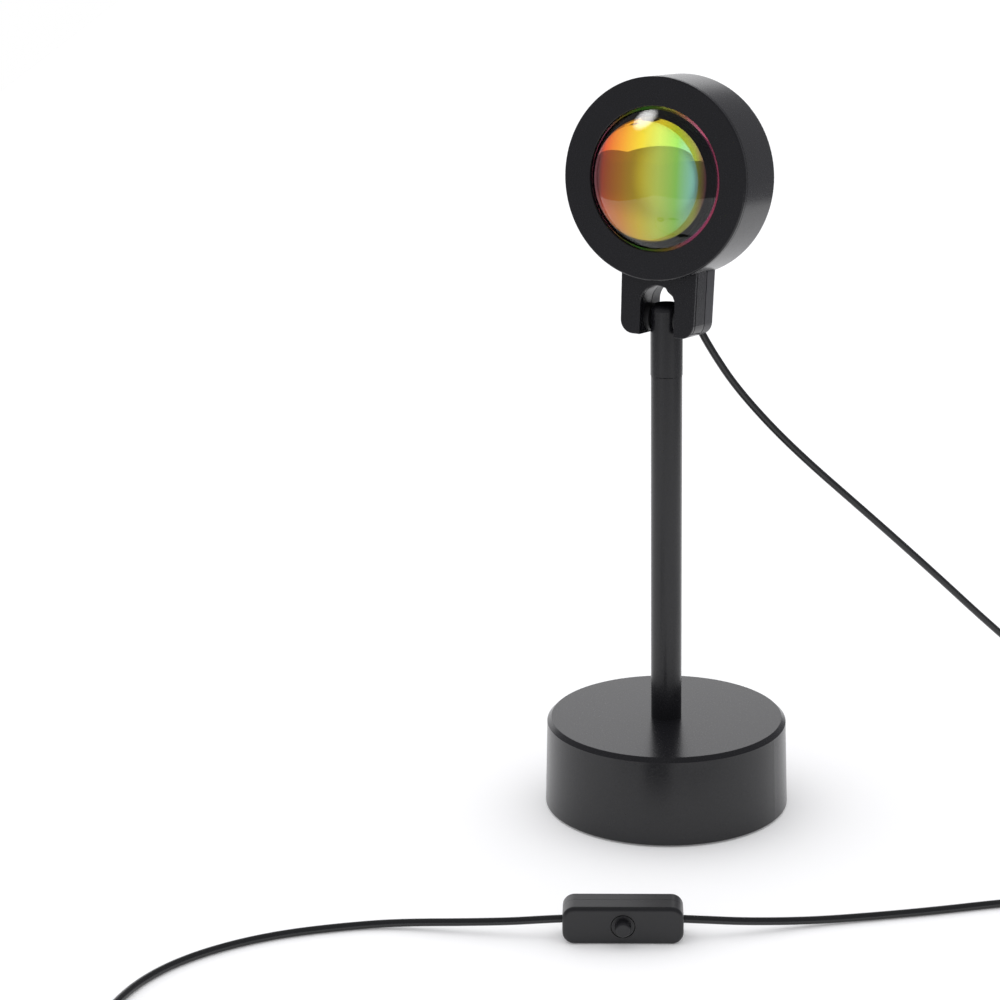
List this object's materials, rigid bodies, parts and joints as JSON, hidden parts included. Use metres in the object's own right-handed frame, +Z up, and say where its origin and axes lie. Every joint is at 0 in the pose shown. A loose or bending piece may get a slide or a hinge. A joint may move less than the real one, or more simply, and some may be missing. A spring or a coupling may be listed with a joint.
{
  "type": "sunset projection lamp",
  "caption": "Small table lamp with a weighted round base, a slim pole, a tilting drum head with a domed lens, and a thin cord with an inline push switch and a flat plug.",
  "frame": {"origin": "centre of the base's underside, on the table", "axes": "+Z up along the pole, lens facing -Y, tilt axis along X"},
  "size_m": [0.2678, 0.3939, 0.241],
  "materials": {
    "black_metal": "fine matte powder coat on aluminium, charcoal black",
    "black_plastic": "matte black moulded plastic",
    "switch_plastic": "fine spark-eroded black plastic",
    "plug_plastic": "soft matte black overmould",
    "washer_plastic": "dark nylon friction washers",
    "foot_pad": "black foam rubber",
    "black_rubber": "black rubber",
    "cord": "satin black PVC jacket",
    "wire": "thin insulated lead wires",
    "iron": "raw cast iron ballast",
    "steel": "zinc-plated steel",
    "bare_aluminium": "machined bare aluminium",
    "lens_glass": "clear polished glass",
    "filter_glass": "thin glass with a rainbow interference coating",
    "led_chip": "yellow phosphor on a white ceramic chip",
    "board": "white solder mask on an aluminium board",
    "plug_metal": "nickel-plated sheet steel",
    "tongue": "white moulded plastic",
    "contact_metal": "gilded contact strips"
  },
  "bodies": {
    "base": {"foot_pad": "foot_pad", "base_plate": "black_plastic", "base_plate_screws": "steel", "base_weight": "iron", "base_shell": "black_metal", "pole_bolt": "steel", "bolt_washer": "steel", "pole_tube": "black_metal", "lower_tube_plug": "bare_aluminium", "upper_tube_plug": "bare_aluminium", "joining_stud": "steel", "neck": "black_metal", "hinge_pin": "steel", "friction_washers": "washer_plastic", "cord_lead": "cord", "lamp_cord": "cord", "plug_cord": "cord", "cord_coil": "cord", "plug_lead": "cord", "switch_front_shell": "switch_plastic", "switch_rear_shell": "switch_plastic", "switch_collar": "switch_plastic", "switch_core": "black_plastic", "switch_spring": "steel", "plug_body": "plug_plastic", "plug_shell": "plug_metal", "plug_tongue": "tongue", "plug_contacts": "contact_metal"},
    "head": {"bracket_front": "black_metal", "bracket_rear": "black_metal", "bracket_cover": "black_metal", "clamp_screws": "steel", "bracket_screws": "steel", "drum_shell": "black_metal", "front_bezel": "black_metal", "lens": "lens_glass", "lens_gasket": "black_rubber", "light_tube": "black_plastic", "dichroic_filter": "filter_glass", "filter_ring": "black_plastic", "led_chip": "led_chip", "led_board": "board", "board_screws": "steel", "heat_sink": "bare_aluminium", "sink_screws": "steel", "rear_cover": "black_metal", "cord_bush": "black_rubber", "lead_wires": "wire"},
    "switch_button": {"switch_button": "switch_plastic"}
  },
  "joints": [
    {"name": "head_tilt", "type": "hinge", "parent": "base", "child": "head", "pos_m": [0, 0, 0.164], "axis": [-1, 0, 0], "range_deg": [-94.8, 85.2], "deforming": ["cord_lead"]},
    {"name": "button_press", "type": "slide", "parent": "base", "child": "switch_button", "axis": [-0.4772, 0.8788, 0], "range_m": [0, 0.0012], "stiffness_N_per_m": 800, "springref_m": -0.001, "deforming": ["switch_spring"]}
  ]
}
